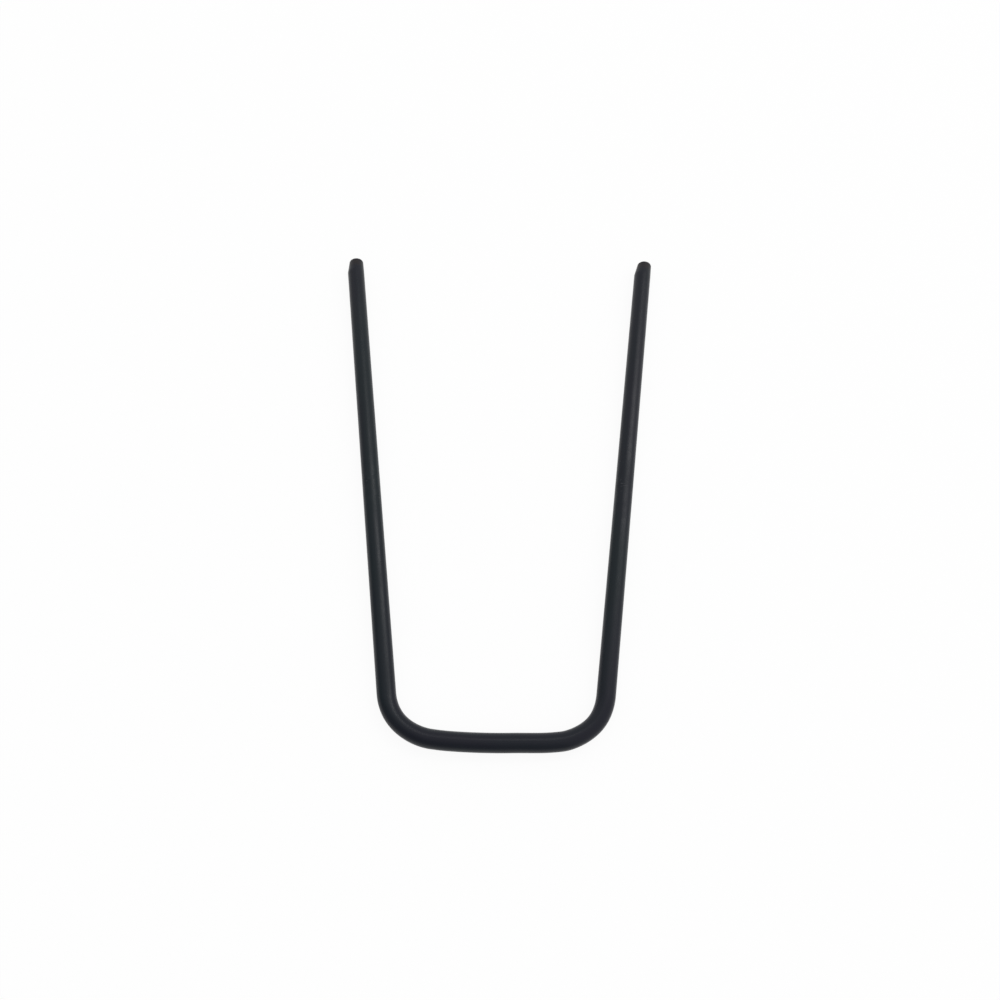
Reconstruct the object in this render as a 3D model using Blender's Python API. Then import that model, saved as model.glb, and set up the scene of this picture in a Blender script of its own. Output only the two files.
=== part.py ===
"""A U-shaped cable needle, as one bent rod.

Metres, +Z up. The needle lies flat on z = 0 with its tips towards +Y, and its origin is
under the middle of its outline.

How the real one is made sets the order here. Round bar is cropped to length, both ends are
dressed down to blunt tips, and the bar is then bent cold at two places. The rod's middle
line is laid out first, as arcs and straights that run smoothly into each other. Each
station on that line has its own rod radius, so one swept tube gives the rod and both tips.
"""

import math

import bpy
from mathutils import Vector

# Driving sizes
ROD_DIAMETER = 0.0040  # the gauge, the same all along the rod
BASE_SPAN = 0.0260  # straight across from one bend to the other
BASE_BOW = 0.0006  # how far the middle of the base bulges away from the legs
BEND_RADIUS = 0.0106  # to the middle of the rod
LEG_LENGTH = 0.1093  # from the end of a bend to the end of the tip
LEG_SPLAY = math.radians(7.1)  # how far each leg leans out from the centre line
TIP_LENGTH = 0.0035  # the stretch of each leg that is dressed down to a cone
TIP_DIAMETER = 0.0034  # what is left of the rod at the end of that stretch
TIP_EDGE_RADIUS = 0.0006  # the rounding round the flat end
TIP_LEAN = 0.00025  # cropping leaves both ends a little nearer +X than the rod

# How finely the round forms are divided
ROD_SIDES = 32
BEND_STEP = math.radians(5)
BASE_STEPS = 4  # on each side of the middle
LEG_STEPS = 4
TIP_STEPS = 2
EDGE_STEPS = 5

# Finish
BLACK = (0.018, 0.020, 0.024, 1.0)
ROUGHNESS = 0.45
METALLIC = 0.0


def clear_scene():
    """Empties the scene, so that only the needle is left in it."""
    for old in list(bpy.data.objects):
        bpy.data.objects.remove(old, do_unlink=True)


def arc(start, heading, radius, turn, steps):
    """Points along a left-hand arc, without its start, and the heading that it ends on."""
    centre = start + radius * Vector((-math.sin(heading), math.cos(heading)))
    points = []
    for step in range(1, steps + 1):
        angle = heading + turn * step / steps
        points.append(centre + radius * Vector((math.sin(angle), -math.cos(angle))))
    return points, heading + turn


def bent_line():
    """The rod's middle line from the middle of the base to where a leg leaves its bend,
    and the leg's direction. Base, bend and leg meet without a corner."""
    half = BASE_SPAN / 2
    base_radius = (half**2 + BASE_BOW**2) / (2 * BASE_BOW)
    base_turn = math.asin(half / base_radius)
    start = Vector((0.0, 0.0))
    base, heading = arc(start, 0.0, base_radius, base_turn, BASE_STEPS)

    bend_turn = math.pi / 2 - LEG_SPLAY - heading
    bend_steps = math.ceil(bend_turn / BEND_STEP)
    bend, heading = arc(base[-1], heading, BEND_RADIUS, bend_turn, bend_steps)
    return [start] + base + bend, Vector((math.cos(heading), math.sin(heading)))


def tip_profile():
    """(distance before the tip's end, rod radius, share of the lean) down a dressed end."""
    rod, tip = ROD_DIAMETER / 2, TIP_DIAMETER / 2
    profile = []
    for step in range(TIP_STEPS + 1):
        along = step / TIP_STEPS
        left = TIP_LENGTH - (TIP_LENGTH - TIP_EDGE_RADIUS) * along
        profile.append((left, rod + (tip - rod) * along, along))
    for step in range(1, EDGE_STEPS + 1):
        angle = math.pi / 2 * step / EDGE_STEPS
        left = TIP_EDGE_RADIUS * (1 - math.sin(angle))
        profile.append((left, tip - TIP_EDGE_RADIUS * (1 - math.cos(angle)), 1.0))
    return profile


def half_stations():
    """(point, rod radius, lean) from the middle of the base to the end of the tip."""
    line, direction = bent_line()
    rod = ROD_DIAMETER / 2
    stations = [(point, rod, 0.0) for point in line]
    leg_start = line[-1]
    plain = LEG_LENGTH - TIP_LENGTH
    for step in range(1, LEG_STEPS):
        stations.append((leg_start + direction * plain * step / LEG_STEPS, rod, 0.0))
    for left, radius, share in tip_profile():
        point = leg_start + direction * (LEG_LENGTH - left)
        stations.append((point, radius, TIP_LEAN * share))
    return stations


def rod_stations():
    """(point, rod radius) from the left tip, round the base, to the right tip."""
    half = half_stations()
    left = [(Vector((lean - point.x, point.y)), radius) for point, radius, lean in half]
    right = [(Vector((lean + point.x, point.y)), radius) for point, radius, lean in half]
    return left[:0:-1] + right


def outline_middle(stations):
    """The middle of the box round the rod's outline. The rod's end rings stand square to
    the legs, so there its radius counts only sideways."""
    lows, highs = [], []
    for index, (point, radius) in enumerate(stations):
        before = stations[max(index - 1, 0)][0]
        after = stations[min(index + 1, len(stations) - 1)][0]
        along = (after - before).normalized()
        reach = Vector((abs(along.y), abs(along.x))) * radius
        lows.append(point - reach)
        highs.append(point + reach)
    x = (min(low.x for low in lows) + max(high.x for high in highs)) / 2
    y = (min(low.y for low in lows) + max(high.y for high in highs)) / 2
    return Vector((x, y))


def black_finish():
    """A dark, satin coat over the whole rod."""
    material = bpy.data.materials.new("satin_black_coat")
    material.use_nodes = True
    shader = material.node_tree.nodes["Principled BSDF"]
    shader.inputs["Base Color"].default_value = BLACK
    shader.inputs["Roughness"].default_value = ROUGHNESS
    shader.inputs["Metallic"].default_value = METALLIC
    return material


def make_rod(collection):
    """Sweeps the rod along its stations and closes both ends."""
    stations = rod_stations()
    middle = outline_middle(stations)
    curve = bpy.data.curves.new("needle_rod", "CURVE")
    curve.dimensions = "3D"
    curve.twist_mode = "Z_UP"
    curve.bevel_depth = ROD_DIAMETER / 2
    curve.bevel_resolution = (ROD_SIDES - 4) // 2
    curve.use_fill_caps = True

    spline = curve.splines.new("POLY")
    spline.points.add(len(stations) - 1)
    for control, (point, radius) in zip(spline.points, stations):
        place = point - middle
        control.co = (place.x, place.y, ROD_DIAMETER / 2, 1.0)
        control.radius = radius / (ROD_DIAMETER / 2)
    spline.use_smooth = True

    curve.materials.append(black_finish())
    rod = bpy.data.objects.new("needle_rod", curve)
    collection.objects.link(rod)
    return rod


def build():
    clear_scene()
    collection = bpy.data.collections.new("cable_needle")
    bpy.context.scene.collection.children.link(collection)
    make_rod(collection)


build()
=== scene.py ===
# %% [markdown]
# # A U-shaped cable needle
# A cable needle holds a few stitches out of the way while a knitter crosses them with their
# neighbours. This one is a single aluminium bar, bent into a wide U and anodised black. It
# has no second piece: no sleeve, cap, handle or joint. So the lesson is about one swept form,
# and about a finish that has to stay interesting although it's nearly black.

import math

import bmesh
import bpy
import numpy as np
from mathutils import Matrix, Quaternion, Vector


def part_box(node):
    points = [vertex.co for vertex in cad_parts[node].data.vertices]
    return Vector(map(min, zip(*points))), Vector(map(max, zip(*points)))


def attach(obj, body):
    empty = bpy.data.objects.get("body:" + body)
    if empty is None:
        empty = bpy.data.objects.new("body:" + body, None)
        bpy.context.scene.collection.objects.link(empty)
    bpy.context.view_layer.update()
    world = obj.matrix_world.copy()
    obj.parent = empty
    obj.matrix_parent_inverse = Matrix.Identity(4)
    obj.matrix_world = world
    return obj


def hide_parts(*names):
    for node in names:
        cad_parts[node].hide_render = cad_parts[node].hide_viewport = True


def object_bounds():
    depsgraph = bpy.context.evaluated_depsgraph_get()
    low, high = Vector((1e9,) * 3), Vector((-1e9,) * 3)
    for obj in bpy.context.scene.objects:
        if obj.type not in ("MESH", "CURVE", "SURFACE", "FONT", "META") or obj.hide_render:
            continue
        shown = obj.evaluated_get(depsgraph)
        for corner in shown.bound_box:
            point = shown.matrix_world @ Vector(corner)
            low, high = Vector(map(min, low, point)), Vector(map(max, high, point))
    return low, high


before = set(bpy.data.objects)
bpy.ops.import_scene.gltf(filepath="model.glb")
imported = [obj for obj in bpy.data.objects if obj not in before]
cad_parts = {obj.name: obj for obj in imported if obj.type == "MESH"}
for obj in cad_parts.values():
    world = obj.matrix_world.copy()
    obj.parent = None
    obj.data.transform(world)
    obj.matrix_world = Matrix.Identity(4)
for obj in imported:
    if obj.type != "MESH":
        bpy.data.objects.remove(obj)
cad_low, cad_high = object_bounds()
MM = 0.001
print("CAD box, mm:", [round((high - low) / MM, 2) for low, high in zip(cad_low, cad_high)])

# %% [markdown]
# ## The bar's middle line
# The real needle is made from its middle line outwards: a bender feeds straight round bar and
# turns it over a round die twice. A curve object with a bevel would sweep it as well, but its
# rings all have one shape, and here they change in the bends and at the tips. So the rings
# are computed.
#
# The base isn't quite straight. It bows out by a little more than half a millimetre, because
# the bar springs back after each bend. Base, bends and legs leave each other without a
# corner, so a highlight can run through them unbroken.

# %% Sizes of the bent bar, in metres
rod_low, rod_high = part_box("needle_rod")
ROD_RADIUS = (rod_high[2] - rod_low[2]) / 2
BASE_SPAN = 26.0 * MM
BASE_BOW = 0.6 * MM
BEND_RADIUS = 10.6 * MM  # to the middle of the bar
LEG_LENGTH = 109.3 * MM
LEG_SPLAY = math.radians(7.1)

RING_GAP = 0.6 * MM  # between rings on the base and the legs
BEND_RING_TURN = math.radians(2.0)
RING_POINTS = 72
print("bar radius, read from the CAD rod, mm:", round(ROD_RADIUS / MM, 3))


# %% Arcs for half the base and for a bend
def along_arc(start, heading, radius, turn, steps):
    """[(point, heading)] along a left-hand arc, without its start."""
    centre = start + radius * Vector((-math.sin(heading), math.cos(heading)))
    stops = []
    for step in range(1, steps + 1):
        angle = heading + turn * step / steps
        stops.append((centre + radius * Vector((math.sin(angle), -math.cos(angle))), angle))
    return stops


half_span = BASE_SPAN / 2
base_radius = (half_span**2 + BASE_BOW**2) / (2 * BASE_BOW)
base_turn = math.asin(half_span / base_radius)
bend_turn = math.pi / 2 - LEG_SPLAY - base_turn

base = along_arc(Vector((0, 0)), 0.0, base_radius, base_turn, round(half_span / RING_GAP))
bend = along_arc(base[-1][0], base_turn, BEND_RADIUS, bend_turn, round(bend_turn / BEND_RING_TURN))
leg_start, leg_heading = bend[-1]
leg_way = Vector((math.cos(leg_heading), math.sin(leg_heading)))
print("radius of the bowed base, mm:", round(base_radius / MM))
print("turn of one bend, degrees:", round(math.degrees(bend_turn), 1))

# %% [markdown]
# ## The tips
# A stitch has to slide on without its yarn being split, so each end is dressed down to a
# short blunt cone with a rounded edge. It's far from a point. The shear that crops the bar
# also pushes its end over a little, so both tips sit a quarter of a millimetre off the bar's
# middle, towards the same side. That small fault is worth keeping, because two perfect tips
# look like plastic.

# %% Profile of a tip
TIP_LENGTH = 3.5 * MM
TIP_RADIUS = 1.7 * MM
TIP_EDGE = 0.6 * MM
TIP_LEAN = 0.25 * MM
CONE_RINGS = 12
EDGE_RINGS = 10

tip = []  # (distance left to the end, radius, lean)
for step in range(CONE_RINGS + 1):
    share = step / CONE_RINGS
    left = TIP_LENGTH + (TIP_EDGE - TIP_LENGTH) * share
    tip.append((left, ROD_RADIUS + (TIP_RADIUS - ROD_RADIUS) * share, TIP_LEAN * share))
for step in range(1, EDGE_RINGS + 1):
    angle = math.pi / 2 * step / EDGE_RINGS
    left = TIP_EDGE * (1 - math.sin(angle))
    tip.append((left, TIP_RADIUS - TIP_EDGE * (1 - math.cos(angle)), TIP_LEAN))
print("flat end of a tip, mm across:", round(2 * tip[-1][1] / MM, 2))

# %% [markdown]
# ## Flattened bends
# When a bar is bent over a die, the metal on the outside stretches and thins, and the round
# section becomes slightly oval. The rings in the bends therefore lose a few hundredths of
# their width in the plane of the U and keep their height.

# %% Rings of half the needle
BEND_FLATTENING = 0.03  # share of the width that is lost at the middle of a bend

half_rings = [(Vector((0, 0)), 0.0, ROD_RADIUS, 0.0, 0.0)]  # point, heading, radius, lean, flattening
half_rings += [(point, heading, ROD_RADIUS, 0.0, 0.0) for point, heading in base]
for step, (point, heading) in enumerate(bend, 1):
    flattening = BEND_FLATTENING * math.sin(math.pi * step / len(bend)) ** 2
    half_rings.append((point, heading, ROD_RADIUS, 0.0, flattening))

plain_length = LEG_LENGTH - TIP_LENGTH
plain_rings = round(plain_length / RING_GAP)
for step in range(1, plain_rings):
    point = leg_start + leg_way * plain_length * step / plain_rings
    half_rings.append((point, leg_heading, ROD_RADIUS, 0.0, 0.0))
for left, radius, lean in tip:
    half_rings.append((leg_start + leg_way * (LEG_LENGTH - left), leg_heading, radius, lean, 0.0))
print("rings in half the needle:", len(half_rings))

# %% [markdown]
# ## From half to whole
# The left half is the right half mirrored and walked the other way. Only the lean keeps its
# direction. The distance walked from the left tip is kept for each ring, because the finish
# and the flat sheet that it is laid out on need it.

# %% All rings, from the left tip to the right one
rings = []
for point, heading, radius, lean, flattening in half_rings[:0:-1]:
    rings.append((Vector((lean - point.x, point.y)), -heading, radius, flattening))
for point, heading, radius, lean, flattening in half_rings:
    rings.append((Vector((lean + point.x, point.y)), heading, radius, flattening))

walked = [0.0]
for (here, *_), (there, *_) in zip(rings, rings[1:]):
    walked.append(walked[-1] + (there - here).length)
BAR_LENGTH = walked[-1]
print("rings:", len(rings), " bar in one needle, mm:", round(BAR_LENGTH / MM, 1))

# %% [markdown]
# ## Bends that aren't quite alike
# A bender makes the two bends one after the other, and they never come out the same. Here
# the left one is a touch wide, and the right one is a touch tight where it starts and where
# it ends, by about a fifth of a millimetre. Nobody would measure that, but without it the
# base looks drawn with a compass. Each push grows and fades softly, so no kink is left.

# %% The left bend is pushed inwards and the right one outwards
BEND_FAULTS = (  # (place along the bar from its middle, reach to each side, push inwards)
    (-16.5 * MM, 7.0 * MM, 0.17 * MM),
    (11.5 * MM, 8.5 * MM, -0.26 * MM),
    (21.0 * MM, 6.0 * MM, -0.17 * MM),
)
for ring, (point, heading, radius, flattening) in enumerate(rings):
    inward = Vector((-math.sin(heading), math.cos(heading)))
    for place, reach, push in BEND_FAULTS:
        nearness = max(0.0, 1 - abs(walked[ring] - BAR_LENGTH / 2 - place) / reach)
        point = point + inward * push * (1 - math.cos(math.pi * nearness)) / 2
    rings[ring] = (point, heading, radius, flattening)
print("lowest ring of the base, mm:", round(min(point.y for point, *_ in rings) / MM, 3))

# %% [markdown]
# ## The skin
# Each ring becomes a circle of points across the bar. Every point also remembers where it
# was on the straight bar, before bending. A pattern that reads that place runs along the bar
# and round the bends, as the marks of the drawing die do, and it has no seam.

# %% Points of the skin
turns = [2 * math.pi * n / RING_POINTS for n in range(RING_POINTS)]
skin_points, straight_points = [], []
for (point, heading, radius, flattening), distance in zip(rings, walked):
    inward = Vector((-math.sin(heading), math.cos(heading)))
    for turn in turns:
        across, up = radius * math.cos(turn), radius * math.sin(turn)
        flat = point + inward * across * (1 - flattening)
        skin_points.append((flat.x, flat.y, up))
        straight_points.append((across, up, distance))
print("points:", len(skin_points))

# %% [markdown]
# The computed form is moved so that its box sits in the middle of the CAD rod's box. The
# difference of the two boxes is printed: if the sizes above didn't belong to this rod, it
# would show here.

# %% Moved onto the CAD rod
skin = np.array(skin_points)
skin_low, skin_high = skin.min(axis=0), skin.max(axis=0)
skin += (np.array(rod_high) + np.array(rod_low)) / 2 - (skin_low + skin_high) / 2
difference = (skin_high - skin_low) - (np.array(rod_high) - np.array(rod_low))
print("larger than the CAD rod by, mm:", [round(float(d) / MM, 3) for d in difference])

# %% [markdown]
# ## One sheet for the whole bar
# For baking, the skin is also laid out flat. The bar is over twenty times as long as its
# girth, so it's cut into five lengths that lie side by side, and both flat ends go beside
# them. All of it keeps one scale, so no part of the finish is stretched.

# %% Layout of the sheet
SHEET_ROWS = 5
ROW_MARGIN = 0.4 * MM
END_SPACE = 3.0 * MM  # for one flat end
girth = 2 * math.pi * ROD_RADIUS
row_length = BAR_LENGTH / SHEET_ROWS
row_pitch = girth + ROW_MARGIN
SHEET = SHEET_ROWS * row_pitch + ROW_MARGIN
print("sheet, mm:", round(SHEET / MM, 1), " each length, mm:", round(row_length / MM, 1))

# %% Sides of the bar
mesh = bpy.data.meshes.new("needle_bar")
bm = bmesh.new()
straight = bm.verts.layers.float_vector.new("straight_bar")
sheet = bm.loops.layers.uv.new("OFBake")
for point, before in zip(skin, straight_points):
    vert = bm.verts.new(point)
    vert[straight] = before
bm.verts.ensure_lookup_table()

for ring in range(len(rings) - 1):
    row = min(int(walked[ring] / row_length), SHEET_ROWS - 1)
    for n in range(RING_POINTS):
        corners = ((ring, n), (ring + 1, n), (ring + 1, n + 1), (ring, n + 1))
        face = bm.faces.new([bm.verts[r * RING_POINTS + m % RING_POINTS] for r, m in corners])
        for loop, (r, m) in zip(face.loops, corners):
            along = ROW_MARGIN + walked[r] - row * row_length
            around = ROW_MARGIN + row * row_pitch + girth * m / RING_POINTS
            loop[sheet].uv = (along / SHEET, around / SHEET)
print("side faces:", len(bm.faces))


# %% Closed ends
BAND_SHARE = 0.6  # radius inside the band, as a share of the rim's


def close_end(first, faces_back, distance, sheet_place):
    """A flat end: a band inside the rim, then a fan to its middle."""
    rim = [bm.verts[first + n] for n in range(RING_POINTS)]
    centre = sum((vert.co for vert in rim), Vector()) / RING_POINTS
    inner = []
    for vert in rim:
        made = bm.verts.new(centre.lerp(vert.co, BAND_SHARE))
        made[straight] = (vert[straight].x * BAND_SHARE, vert[straight].y * BAND_SHARE, distance)
        inner.append(made)
    hub = bm.verts.new(centre)
    hub[straight] = (0.0, 0.0, distance)
    for n in range(RING_POINTS):
        after = (n + 1) % RING_POINTS
        band = [rim[n], rim[after], inner[after], inner[n]]
        fan = [inner[n], inner[after], hub]
        for corners in (band, fan):
            face = bm.faces.new(corners[::-1] if faces_back else corners)
            for loop in face.loops:
                across, up, _ = loop.vert[straight]
                loop[sheet].uv = ((sheet_place + across) / SHEET, (END_SPACE + up) / SHEET)


beside = row_length + END_SPACE
close_end(0, False, 0.0, beside)
bm.verts.ensure_lookup_table()
close_end((len(rings) - 1) * RING_POINTS, True, BAR_LENGTH, beside + END_SPACE)
bmesh.ops.recalc_face_normals(bm, faces=bm.faces)
open_edges = sum(not edge.is_manifold for edge in bm.edges)
bm.to_mesh(mesh)
bm.free()
print("faces:", len(mesh.polygons), " open edges:", open_edges)

# %% [markdown]
# The skin is shaded smooth, and only a true corner would stay sharp. The new piece takes the
# CAD rod's place in the picture and rides on the same body.

# %% The bar stands for the CAD rod
SHARP_ANGLE = math.radians(50)
mesh.shade_smooth()
mesh.set_sharp_from_angle(angle=SHARP_ANGLE)
needle = bpy.data.objects.new("needle_bar", mesh)
bpy.context.scene.collection.objects.link(needle)
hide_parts("needle_rod")
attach(needle, "root")
print("edges that stay sharp:", sum(edge.use_edge_sharp for edge in mesh.edges))


# %% [markdown]
# ## Tools for the finish
# Colours are written as they look on a screen and turned linear once. One function adds a
# node, sets its values and links its inputs.

# %% Two helpers
def linear(hex_colour):
    """An sRGB colour such as '#22262B' as linear RGBA, by the standard's own formula."""
    channels = [int(hex_colour[n : n + 2], 16) / 255 for n in (1, 3, 5)]
    return (*[c / 12.92 if c <= 0.04045 else ((c + 0.055) / 1.055) ** 2.4 for c in channels], 1.0)


def add_node(tree, kind, settings=None, values=None, links=None):
    """A node with its settings, its input values and the sockets that feed its inputs."""
    node = tree.nodes.new(kind)
    for name, value in (settings or {}).items():
        setattr(node, name, value)
    for name, value in (values or {}).items():
        node.inputs[name].default_value = value
    for name, socket in (links or {}).items():
        tree.links.new(socket, node.inputs[name])
    return node


print("middle grey as linear:", round(linear("#808080")[0], 3))

# %% [markdown]
# ## Black anodised aluminium
# Anodising grows a clear oxide on the metal, dye fills its pores, and a hot bath seals them.
# The metal no longer shows. What the eye gets is a dark, slightly blue body under a satin
# surface, so the shader isn't metallic. The alkaline etch before it eats the surface a
# little, and that is where the satin comes from.

# %% A material that knows its place on the straight bar
anodised = bpy.data.materials.new("black_anodised_aluminium_drawn_and_etched")
anodised.use_nodes = True
tree = anodised.node_tree
tree.nodes.clear()
bar_place = add_node(tree, "ShaderNodeAttribute", {"attribute_name": "straight_bar"}).outputs["Vector"]
print("material:", anodised.name)

# %% [markdown]
# ### The dye
# Dye doesn't take evenly. The black drifts between a violet and a green shade of very dark
# blue, over a few centimetres along the bar and less around it. It's hardly seen as a
# colour, but without it the bar looks painted. Noise goes on for ever, so a start value
# picks the stretch of it that this bar gets: greener on one leg than on the other.

# %% Drifting dye
VIOLET_BLACK, GREEN_BLACK = "#080B19", "#021118"
VIOLET_BELOW, GREEN_ABOVE = 0.38, 0.62  # noise values, in between the shades blend
DRIFT_ALONG = 35.0 * MM
DRIFT_AROUND = 6.0 * MM
DRIFT_START = 53.9  # in noise units along the bar
drift_place = add_node(
    tree,
    "ShaderNodeVectorMath",
    {"operation": "MULTIPLY_ADD"},
    {1: (1 / DRIFT_AROUND, 1 / DRIFT_AROUND, 1 / DRIFT_ALONG), 2: (0.0, 0.0, DRIFT_START)},
    {0: bar_place},
).outputs["Vector"]
drift = add_node(
    tree, "ShaderNodeTexNoise", values={"Scale": 1.0, "Detail": 2.0}, links={"Vector": drift_place}
).outputs["Fac"]
dye = add_node(tree, "ShaderNodeValToRGB", links={"Fac": drift})
shades = ((VIOLET_BELOW, VIOLET_BLACK), (GREEN_ABOVE, GREEN_BLACK))
for stop, (position, shade) in zip(dye.color_ramp.elements, shades):
    stop.position = position
    stop.color = linear(shade)
print("drift lengths along the bar:", round(BAR_LENGTH / DRIFT_ALONG, 1))

# %% [markdown]
# ### Rubbed tips
# The tips meet everything first: yarn, the other needle, the bottom of a bag. Over the last
# couple of millimetres the dyed layer is rubbed thinner. The edge of the rubbed part is
# broken up by noise, since wear never ends in a clean ring. A ping-pong node folds the
# distance along the bar, so both tips are reached with one number.

# %% Where the tips are rubbed
RUBBED_LENGTH = 2.8 * MM
FADING_FROM = 0.6 * RUBBED_LENGTH  # from here the rubbing gets less
RUB_PATCH = 0.8 * MM
RUB_LOW, RUB_HIGH = 0.35, 0.6  # noise values
LEAST_RUBBED = 0.4  # share of the full rubbing
along_bar = add_node(tree, "ShaderNodeSeparateXYZ", links={"Vector": bar_place}).outputs["Z"]
to_tip = add_node(
    tree, "ShaderNodeMath", {"operation": "PINGPONG"}, {1: BAR_LENGTH / 2}, {0: along_bar}
).outputs["Value"]
near_tip = add_node(
    tree,
    "ShaderNodeMapRange",
    {"interpolation_type": "SMOOTHSTEP"},
    {"From Min": FADING_FROM, "From Max": RUBBED_LENGTH, "To Min": 1.0, "To Max": 0.0},
    {"Value": to_tip},
).outputs["Result"]
patches = add_node(
    tree,
    "ShaderNodeTexNoise",
    values={"Scale": 1 / RUB_PATCH, "Detail": 3.0},
    links={"Vector": bar_place},
).outputs["Fac"]
broken = add_node(
    tree,
    "ShaderNodeMapRange",
    values={"From Min": RUB_LOW, "From Max": RUB_HIGH, "To Min": LEAST_RUBBED, "To Max": 1.0},
    links={"Value": patches},
).outputs["Result"]
rubbed = add_node(
    tree, "ShaderNodeMath", {"operation": "MULTIPLY"}, links={0: near_tip, 1: broken}
).outputs["Value"]
print("rubbed at each tip, share of half the bar:", round(2 * RUBBED_LENGTH / BAR_LENGTH, 3))

# %% [markdown]
# ### The busy stretch
# Halfway along each leg is where the work hangs and slides and where fingers hold the
# needle. Wear gathers there, so the finish needs to know how close a point is to the middle
# of that stretch.

# %% How busy a place on the bar is
BUSY_MIDDLE = 63.0 * MM  # from a tip
BUSY_REACH = 12.0 * MM
from_middle = add_node(
    tree, "ShaderNodeMath", {"operation": "SUBTRACT"}, {1: BUSY_MIDDLE}, {0: to_tip}
).outputs["Value"]
off_middle = add_node(
    tree, "ShaderNodeMath", {"operation": "ABSOLUTE"}, links={0: from_middle}
).outputs["Value"]
busy = add_node(
    tree,
    "ShaderNodeMapRange",
    {"interpolation_type": "SMOOTHSTEP"},
    {"From Min": 0.0, "From Max": BUSY_REACH, "To Min": 1.0, "To Max": 0.0},
    {"Value": off_middle},
).outputs["Result"]
print("busy from a tip, mm:", [round((BUSY_MIDDLE + side * BUSY_REACH) / MM) for side in (-1, 1)])

# %% [markdown]
# ### Nicks
# Needles that cross the bar leave short, pale nicks that run around it. A threshold high up
# in stretched noise leaves a few of them, and the busy stretch lifts a few more over it.

# %% Short nicks around the bar
NICK_LENGTH = 1.6 * MM
NICK_WIDTH = 0.35 * MM
BUSY_LIFT = 0.08  # what the middle of the busy stretch adds to the noise
NICK_RIM, NICK_CORE = 0.76, 0.82  # noise values where a nick starts and where it's full
nick_place = add_node(
    tree,
    "ShaderNodeVectorMath",
    {"operation": "MULTIPLY"},
    {1: (1 / NICK_LENGTH, 1 / NICK_LENGTH, 1 / NICK_WIDTH)},
    {0: bar_place},
).outputs["Vector"]
scatter = add_node(
    tree, "ShaderNodeTexNoise", values={"Scale": 1.0, "Detail": 1.0}, links={"Vector": nick_place}
).outputs["Fac"]
crowded = add_node(
    tree, "ShaderNodeMath", {"operation": "MULTIPLY_ADD"}, {1: BUSY_LIFT}, {0: busy, 2: scatter}
).outputs["Value"]
nicks = add_node(
    tree,
    "ShaderNodeMapRange",
    {"interpolation_type": "SMOOTHSTEP"},
    {"From Min": NICK_RIM, "From Max": NICK_CORE},
    {"Value": crowded},
).outputs["Result"]
print("a nick's length over its width:", round(NICK_LENGTH / NICK_WIDTH, 1))

# %% [markdown]
# ### Worn colour
# Black dyes fade towards plum brown where their layer is thin, so the rubbed tips lose their
# blue. A nick goes deeper, down to grey metal, but it's so narrow that only part of that grey
# arrives. Black hides nothing as badly as a pale nick, so a few are plenty.

# %% Wear mixed into the dye
THIN_DYE = "#171215"
BARE_METAL = "#47474B"
NICK_SHARE = 0.45
faded = add_node(
    tree,
    "ShaderNodeMix",
    {"data_type": "RGBA"},
    {"B": linear(THIN_DYE)},
    {"Factor": rubbed, "A": dye.outputs["Color"]},
).outputs["Result"]
nick_wear = add_node(
    tree, "ShaderNodeMath", {"operation": "MULTIPLY"}, {1: NICK_SHARE}, {0: nicks}
).outputs["Value"]
colour = add_node(
    tree,
    "ShaderNodeMix",
    {"data_type": "RGBA"},
    {"B": linear(BARE_METAL)},
    {"Factor": nick_wear, "A": faded},
).outputs["Result"]
worn = add_node(
    tree, "ShaderNodeMath", {"operation": "MAXIMUM"}, links={0: rubbed, 1: nick_wear}
).outputs["Value"]
print("bare metal in a nick, as linear:", round(NICK_SHARE * linear(BARE_METAL)[0], 3))

# %% [markdown]
# ### Relief
# The drawing die leaves fine lines all along the bar. Real ones are a few hundredths of a
# millimetre apart, too fine to show, so they are drawn coarser here, at about a fifth of a
# millimetre. They pull every highlight a little wider across the bar. The etch adds a grain
# that is finer still and equal in all directions.
#
# The bar isn't a perfect cylinder either. Straightening and bending leave shallow waves a
# few millimetres long, and the busy stretch has small dents. Nobody sees them as a shape,
# but the highlight swells and pinches over them.

# %% Waves, drawing lines and grain as a chain of bumps
WAVE_WIDTH, WAVE_LENGTH, WAVE_HEIGHT = 3.0 * MM, 6.0 * MM, 0.045 * MM
LINE_WIDTH, LINE_LENGTH, LINE_HEIGHT = 0.18 * MM, 30.0 * MM, 0.012 * MM
GRAIN, GRAIN_HEIGHT = 0.12 * MM, 0.003 * MM

relief = None
for around, along, height in (
    (WAVE_WIDTH, WAVE_LENGTH, WAVE_HEIGHT),
    (LINE_WIDTH, LINE_LENGTH, LINE_HEIGHT),
    (GRAIN, GRAIN, GRAIN_HEIGHT),
):
    stretched = add_node(
        tree,
        "ShaderNodeVectorMath",
        {"operation": "MULTIPLY"},
        {1: (1 / around, 1 / around, 1 / along)},
        {0: bar_place},
    ).outputs["Vector"]
    pattern = add_node(
        tree, "ShaderNodeTexNoise", values={"Scale": 1.0, "Detail": 1.0}, links={"Vector": stretched}
    ).outputs["Fac"]
    below = {"Normal": relief} if relief else {}
    relief = add_node(
        tree, "ShaderNodeBump", values={"Distance": height}, links={"Height": pattern, **below}
    ).outputs["Normal"]
print("wave height, share of the bar's radius:", round(WAVE_HEIGHT / ROD_RADIUS, 3))

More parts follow.
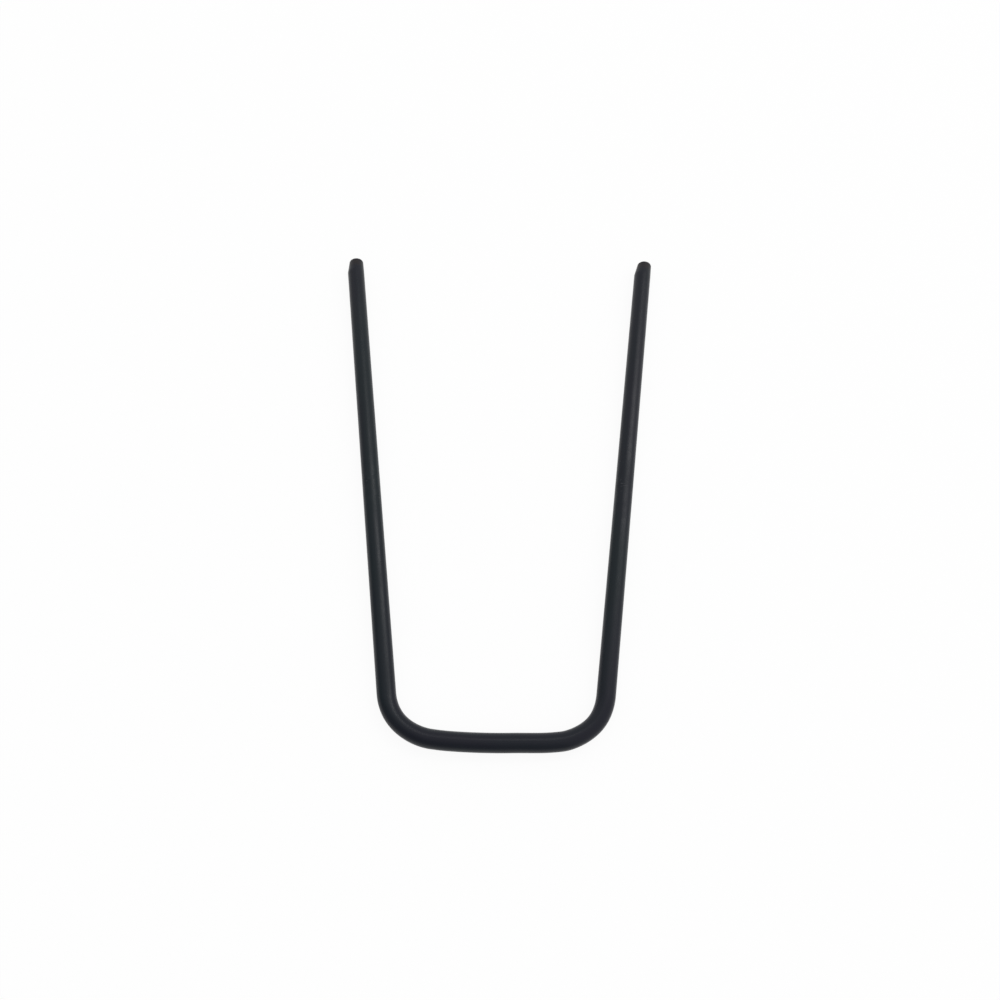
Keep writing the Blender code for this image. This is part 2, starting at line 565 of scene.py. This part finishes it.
# %% Dents in the busy stretch, and the nicks
DENT_SIZE = 2.0 * MM
DENT_DEPTH = 0.090 * MM
NICK_DEPTH = 0.010 * MM
dent_noise = add_node(
    tree,
    "ShaderNodeTexNoise",
    values={"Scale": 1 / DENT_SIZE, "Detail": 0.0},
    links={"Vector": bar_place},
).outputs["Fac"]
dents = add_node(
    tree, "ShaderNodeMath", {"operation": "MULTIPLY"}, links={0: dent_noise, 1: busy}
).outputs["Value"]
for hollow, depth in ((dents, DENT_DEPTH), (nicks, NICK_DEPTH)):
    relief = add_node(
        tree,
        "ShaderNodeBump",
        {"invert": True},
        {"Distance": depth},
        {"Height": hollow, "Normal": relief},
    ).outputs["Normal"]
print("deepest dent, mm:", round(DENT_DEPTH / MM, 3))

# %% [markdown]
# ### Gloss
# A roughness near 0.32 is a satin: a lamp still shows as a streak, but with soft edges.
# Fingers polish some stretches more than others, so it drifts, and worn places are duller.

# %% Drifting gloss
GLOSS_PATCH = 5.0 * MM
GLOSS_LOW, GLOSS_HIGH = 0.3, 0.7  # noise values
GLOSSIEST, DULLEST = 0.27, 0.37
WEAR_DULLS_BY = 0.10
gloss_noise = add_node(
    tree,
    "ShaderNodeTexNoise",
    values={"Scale": 1 / GLOSS_PATCH, "Detail": 2.0},
    links={"Vector": bar_place},
).outputs["Fac"]
satin = add_node(
    tree,
    "ShaderNodeMapRange",
    values={"From Min": GLOSS_LOW, "From Max": GLOSS_HIGH, "To Min": GLOSSIEST, "To Max": DULLEST},
    links={"Value": gloss_noise},
).outputs["Result"]
roughness = add_node(
    tree, "ShaderNodeMath", {"operation": "MULTIPLY_ADD"}, {1: WEAR_DULLS_BY}, {0: worn, 2: satin}
).outputs["Value"]
print("roughness, glossiest and most worn:", GLOSSIEST, round(DULLEST + WEAR_DULLS_BY, 2))

# %% [markdown]
# ### The shader
# Sealed oxide bends light about as much as glass does. But the etch leaves pits too small to
# see, and they swallow part of what a smooth film would mirror, so the index is set well
# under the usual 1.5. It's the same all over, so it stands on the shader's own socket.

# %% Dye, gloss and relief together
FILM_INDEX = 1.32
shader = add_node(
    tree,
    "ShaderNodeBsdfPrincipled",
    values={"IOR": FILM_INDEX},
    links={"Base Color": colour, "Roughness": roughness, "Normal": relief},
)
add_node(tree, "ShaderNodeOutputMaterial", links={"Surface": shader.outputs["BSDF"]})
mesh.materials.append(anodised)
print("nodes in the finish:", len(tree.nodes))

# %% [markdown]
# ## The floor
# The needle lies on a plain white sheet, which is meant to come out nearly pure white. More
# light would do that, but it would flood the needle. So most of the paper's white is a glow
# for those rays alone that look straight at it or see it mirrored. The rest is ordinary
# paper, and that part keeps the needle's shadow.

# %% A sheet under the needle
FLOOR_HALF = 4.0  # metres from its middle to a side
floor_mesh = bpy.data.meshes.new("floor")
bm = bmesh.new()
bmesh.ops.create_grid(bm, x_segments=1, y_segments=1, size=FLOOR_HALF)
bm.to_mesh(floor_mesh)
bm.free()
floor = bpy.data.objects.new("floor", floor_mesh)
floor.location.z = cad_low[2]
bpy.context.scene.collection.objects.link(floor)
print("floor at, mm:", round(floor.location.z / MM, 3))

# %% White paper
PAPER_WHITE = "#F4F4F4"
GLOW_SHARE = 0.92  # the rest is lit by the room and the lamp
white = bpy.data.materials.new("matt_white_paper")
white.use_nodes = True
tree = white.node_tree
tree.nodes.clear()
rays = add_node(tree, "ShaderNodeLightPath").outputs
seen = rays["Is Camera Ray"]
for ray in ("Is Glossy Ray", "Is Transmission Ray"):
    seen = add_node(
        tree, "ShaderNodeMath", {"operation": "MAXIMUM"}, links={0: seen, 1: rays[ray]}
    ).outputs["Value"]
share = add_node(
    tree, "ShaderNodeMath", {"operation": "MULTIPLY"}, {1: GLOW_SHARE}, {0: seen}
).outputs["Value"]
paper = add_node(tree, "ShaderNodeBsdfDiffuse", values={"Color": linear(PAPER_WHITE)}).outputs["BSDF"]
glow = add_node(tree, "ShaderNodeEmission", values={"Strength": 1.0}).outputs["Emission"]
mix = add_node(tree, "ShaderNodeMixShader", links={0: share, 1: paper, 2: glow}).outputs["Shader"]
add_node(tree, "ShaderNodeOutputMaterial", links={"Surface": mix})
floor_mesh.materials.append(white)
print("nodes in the paper:", len(tree.nodes))

# %% [markdown]
# ## The room
# A nearly black bar shows its surroundings more than its own colour, so the room is the
# second half of the finish. It's an even, pale room that gets darker towards the front left,
# where whoever looks at the needle stands. That gives the base and the left flanks their
# deeper black.

# %% A room that is darker at the front left
ROOM_DARK, ROOM_PALE = 0.53, 1.02  # where white paper is 1
BACK_RIGHT = (0.7, 0.7, 0.0)
DARK_BELOW, PALE_ABOVE = -0.6, 0.0  # how far a direction points to the back right
world = bpy.data.worlds.new("studio")
world.use_nodes = True
bpy.context.scene.world = world
tree = world.node_tree
tree.nodes.clear()
way = add_node(tree, "ShaderNodeTexCoord").outputs["Generated"]
to_back_right = add_node(
    tree, "ShaderNodeVectorMath", {"operation": "DOT_PRODUCT"}, {1: BACK_RIGHT}, {0: way}
).outputs["Value"]
level = add_node(
    tree,
    "ShaderNodeMapRange",
    {"interpolation_type": "SMOOTHSTEP"},
    {"From Min": DARK_BELOW, "From Max": PALE_ABOVE, "To Min": ROOM_DARK, "To Max": ROOM_PALE},
    {"Value": to_back_right},
).outputs["Result"]
room = add_node(
    tree, "ShaderNodeBackground", values={"Color": linear("#FFFFFF")}, links={"Strength": level}
).outputs["Background"]
add_node(tree, "ShaderNodeOutputWorld", links={"Surface": room})
print("nodes in the room:", len(tree.nodes))

# %% [markdown]
# ## The lamp
# One strip softbox hangs behind the needle to the right. Its length runs across the legs, so
# it draws a soft streak down each of them, off the middle, that swells about halfway up and
# fades towards the tips and the bends. A square lamp would only give a short blot.

# %% A strip softbox
LAMP_WAY = Vector((0.48, 0.42, 0.77)).normalized()
LAMP_DISTANCE = 1.2
LAMP_LENGTH = 2.1
LAMP_WIDTH = 0.17
LAMP_TURN = math.radians(-11)
LAMP_BRIGHTNESS = 5.25  # in its middle, where white paper is 1

light = bpy.data.lights.new("strip_softbox", "AREA")
light.shape = "RECTANGLE"
light.size, light.size_y = LAMP_LENGTH, LAMP_WIDTH
light.energy = LAMP_BRIGHTNESS * math.pi * LAMP_LENGTH * LAMP_WIDTH
lamp = bpy.data.objects.new("strip_softbox", light)
lamp.location = LAMP_WAY * LAMP_DISTANCE
level_way = Vector((0, 1, 0)).cross(LAMP_WAY).normalized()
long_way = level_way * math.cos(LAMP_TURN) + LAMP_WAY.cross(level_way) * math.sin(LAMP_TURN)
short_way = LAMP_WAY.cross(long_way)
lamp.rotation_euler = Matrix((long_way, short_way, LAMP_WAY)).transposed().to_euler()
bpy.context.scene.collection.objects.link(lamp)
print("softbox at, m:", [round(v, 2) for v in lamp.location])

# %% [markdown]
# A real softbox is brightest in its middle, where its tube is. An evenly bright one would
# give each streak two hard ends, which show as lines along the bar. So the light gets nodes
# of its own. They read how far along the lamp a point is, from 0 to 1, fold that at the
# middle, and let the light rise from each end with a soft start.

# %% Light that fades towards both ends of the strip
LAMP_MIDDLE = 0.5
light.use_nodes = True
tree = light.node_tree
tree.nodes.clear()
on_lamp = add_node(tree, "ShaderNodeNewGeometry").outputs["Parametric"]
along_lamp = add_node(tree, "ShaderNodeSeparateXYZ", links={"Vector": on_lamp}).outputs["X"]
from_end = add_node(
    tree, "ShaderNodeMath", {"operation": "PINGPONG"}, {1: LAMP_MIDDLE}, {0: along_lamp}
).outputs["Value"]
fading = add_node(
    tree,
    "ShaderNodeMapRange",
    {"interpolation_type": "SMOOTHSTEP"},
    {"From Min": 0.0, "From Max": LAMP_MIDDLE},
    {"Value": from_end},
).outputs["Result"]
glowing = add_node(tree, "ShaderNodeEmission", links={"Strength": fading}).outputs["Emission"]
add_node(tree, "ShaderNodeOutputLight", links={"Surface": glowing})
print("nodes in the lamp:", len(tree.nodes))

# %% [markdown]
# ## The camera
# The view is from above and a little in front, close enough for perspective to narrow the
# bar towards the tips. The camera is aimed at a point on the paper and rolled slightly, as a
# hand-held one is.

# %% A camera above the needle
CAMERA_AIM = Vector((0.357, -3.890, 0.0)) * MM
CAMERA_DISTANCE = 219.28 * MM
CAMERA_RISE = math.radians(66.08)  # above the paper
CAMERA_TURN = math.radians(-1.003)
CAMERA_ROLL = math.radians(1.442)
LENS, SENSOR = 35.0, 36.0  # in millimetres, as Blender expects them
NEAREST, FURTHEST = 0.01, 20.0  # what is drawn, in metres

lens = bpy.data.cameras.new("camera")
lens.lens = LENS
lens.sensor_width = SENSOR
lens.clip_start, lens.clip_end = NEAREST, FURTHEST
camera = bpy.data.objects.new("camera", lens)
level_share = math.cos(CAMERA_RISE)
back_way = Vector(
    (math.sin(CAMERA_TURN) * level_share, -math.cos(CAMERA_TURN) * level_share, math.sin(CAMERA_RISE))
)
camera.location = CAMERA_AIM + back_way * CAMERA_DISTANCE
camera.rotation_mode = "QUATERNION"
camera.rotation_quaternion = (-back_way).to_track_quat("-Z", "Y") @ Quaternion((0, 0, 1), CAMERA_ROLL)
bpy.context.scene.collection.objects.link(camera)
bpy.context.scene.camera = camera
bpy.context.scene.view_settings.view_transform = "Standard"
print("camera at, mm:", [round(v / MM, 1) for v in camera.location])
